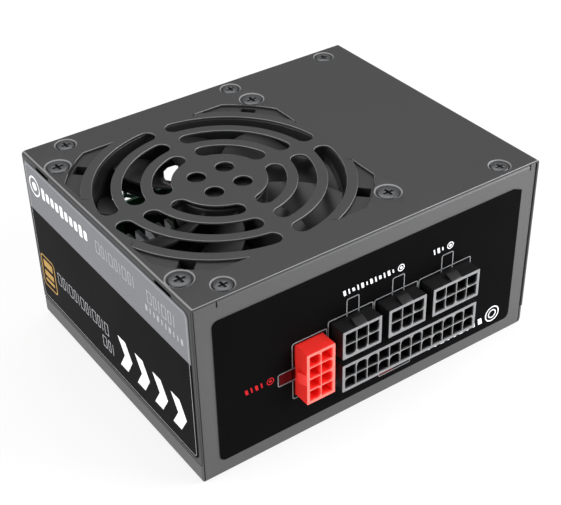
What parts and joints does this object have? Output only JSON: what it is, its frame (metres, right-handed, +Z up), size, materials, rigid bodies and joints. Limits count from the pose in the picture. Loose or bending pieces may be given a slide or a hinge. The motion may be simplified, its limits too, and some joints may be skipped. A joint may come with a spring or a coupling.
{
  "type": "power supply unit",
  "caption": "Compact modular computer power supply in a dark folded steel case, with a fan under a cut-out grille, cable sockets on the front and a mains inlet and rocker switch at the rear.",
  "frame": {"origin": "centre of the case's flat underside", "axes": "+X along the case's longer side, +Y towards the mains inlet, +Z up through the fan grille"},
  "size_m": [0.1252, 0.1096, 0.0635],
  "materials": {
    "case_steel": "fine matte powder coat, dark graphite",
    "front_label_film": "black printed film, satin",
    "side_label_film": "black and grey printed film, satin",
    "socket_black": "moulded nylon, satin",
    "socket_red": "moulded red nylon, satin",
    "fan_plastic": "moulded, satin",
    "screw_steel": "blackened steel",
    "plain_steel": "plated steel",
    "brass": "nickel-flashed brass",
    "copper": "enamelled copper winding",
    "aluminium": "plain extruded",
    "ferrite": "sintered, matte",
    "board_green": "green solder mask",
    "winding_tape": "yellow polyester tape",
    "capacitor_sleeve": "shrunk sleeve, dark",
    "insulating_film": "translucent polyester sheet",
    "wire_black": "wire insulation",
    "wire_brown": "wire insulation"
  },
  "bodies": {
    "case": {"chassis_tray": "case_steel", "top_cover": "case_steel", "insulating_sheet": "insulating_film", "front_label": "front_label_film", "side_label": "side_label_film", "cover_screw_1": "screw_steel", "cover_screw_2": "screw_steel", "cover_screw_3": "screw_steel", "cover_screw_4": "screw_steel", "cover_screw_5": "screw_steel", "fan_screw_1": "screw_steel", "fan_screw_2": "screw_steel", "fan_screw_3": "screw_steel", "fan_screw_4": "screw_steel", "fan_frame": "fan_plastic", "fan_bearing": "brass", "fan_stator": "copper", "fan_circuit_board": "board_green", "socket_24pin": "socket_black", "socket_6pin_a": "socket_black", "socket_6pin_b": "socket_black", "socket_8pin_cpu": "socket_black", "socket_8pin_graphics": "socket_red", "socket_board": "board_green", "inlet_housing": "socket_black", "inlet_blade_live": "brass", "inlet_blade_neutral": "brass", "inlet_blade_earth": "brass", "switch_housing": "socket_black", "rocker_pin": "plain_steel", "main_board": "board_green", "board_screw_1": "plain_steel", "board_screw_2": "plain_steel", "board_screw_3": "plain_steel", "board_screw_4": "plain_steel", "bulk_capacitor": "capacitor_sleeve", "correction_choke": "copper", "primary_heatsink": "aluminium", "bridge_rectifier": "socket_black", "main_transformer": "winding_tape", "standby_transformer": "winding_tape", "mains_choke": "copper", "mains_filter_capacitor": "winding_tape", "secondary_heatsink": "aluminium", "output_capacitor_1": "capacitor_sleeve", "output_capacitor_2": "capacitor_sleeve", "output_capacitor_3": "capacitor_sleeve", "output_capacitor_4": "capacitor_sleeve", "output_choke": "copper", "control_board": "board_green", "bus_bar_12v": "copper", "bus_bar_ground": "copper", "fan_lead": "wire_black", "mains_wire_live": "wire_brown", "mains_wire_neutral": "wire_black"},
    "fan": {"fan_rotor": "fan_plastic", "fan_shaft": "plain_steel", "fan_magnet_ring": "ferrite"},
    "rocker": {"switch_rocker": "socket_black"}
  },
  "joints": [
    {"name": "fan_spin", "type": "hinge", "parent": "case", "child": "fan", "pos_m": [-0.0216, -0.0008, 0.0555], "axis": [0, 0, 1], "continuous": true},
    {"name": "rocker_press", "type": "hinge", "parent": "case", "child": "rocker", "pos_m": [0.016, 0.0453, 0.029], "axis": [1, 0, 0], "range_deg": [0, 22]}
  ]
}
